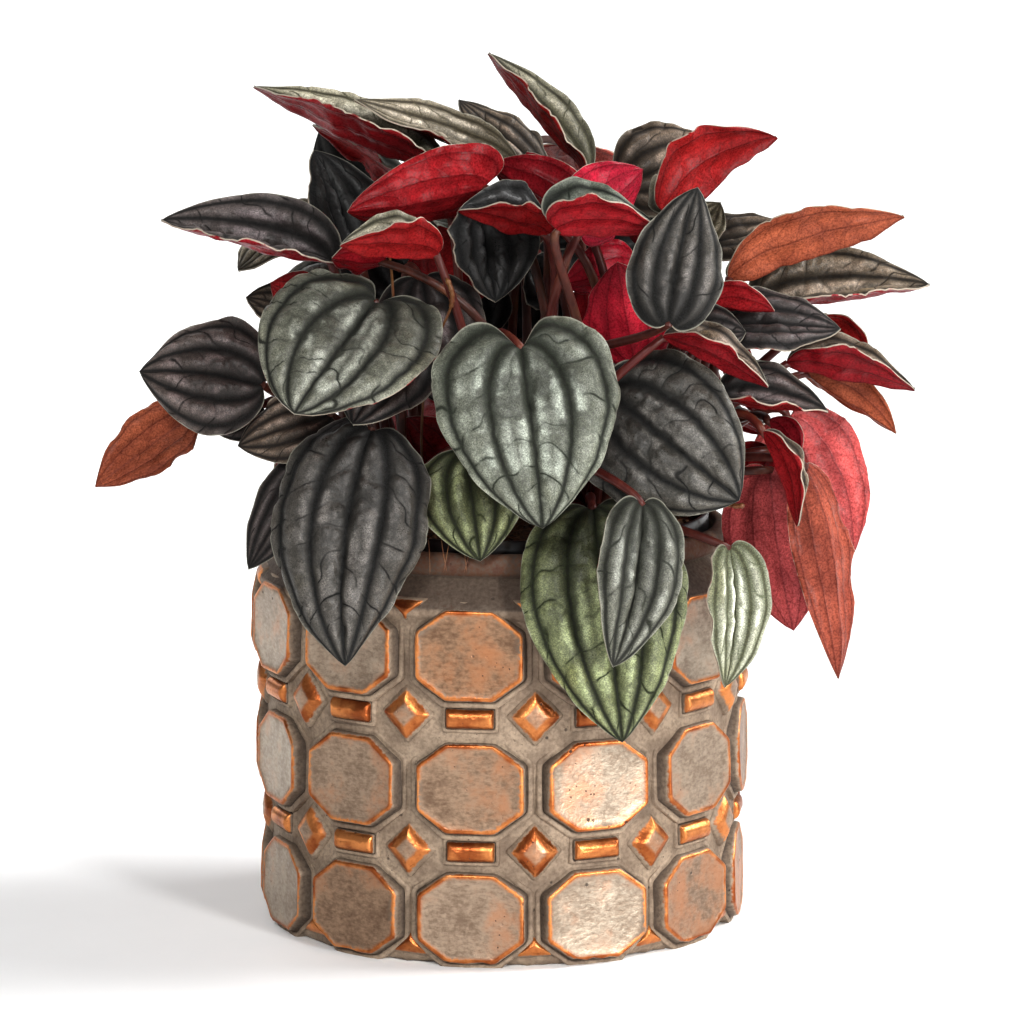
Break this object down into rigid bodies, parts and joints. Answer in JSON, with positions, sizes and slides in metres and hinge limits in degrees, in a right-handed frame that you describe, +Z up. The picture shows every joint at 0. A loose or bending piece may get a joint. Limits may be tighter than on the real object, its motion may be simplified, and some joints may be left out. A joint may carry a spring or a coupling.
{
  "type": "potted peperomia",
  "caption": "Peperomia with quilted grey-green and red-backed leaves in a round cast pot with raised copper-rubbed octagons.",
  "frame": {"origin": "centre of the decorative pot's underside", "axes": "+Z up; the viewer of the picture stands at -Y, +X to the viewer's right"},
  "size_m": [0.2401, 0.2084, 0.2523],
  "materials": {
    "cast_cement": "cement with rubbed copper, rough",
    "black_plastic": "satin",
    "compost": "rough fibrous",
    "foliage": "satin, quilted above, smooth red below"
  },
  "bodies": {
    "root": {"decorative_pot": "cast_cement", "nursery_pot": "black_plastic", "soil": "compost", "crown_frontLeft": "foliage", "crown_frontRight": "foliage", "crown_left": "foliage", "crown_right": "foliage", "crown_middle": "foliage", "crown_backLeft": "foliage", "crown_backRight": "foliage", "crown_back": "foliage"}
  },
  "joints": []
}
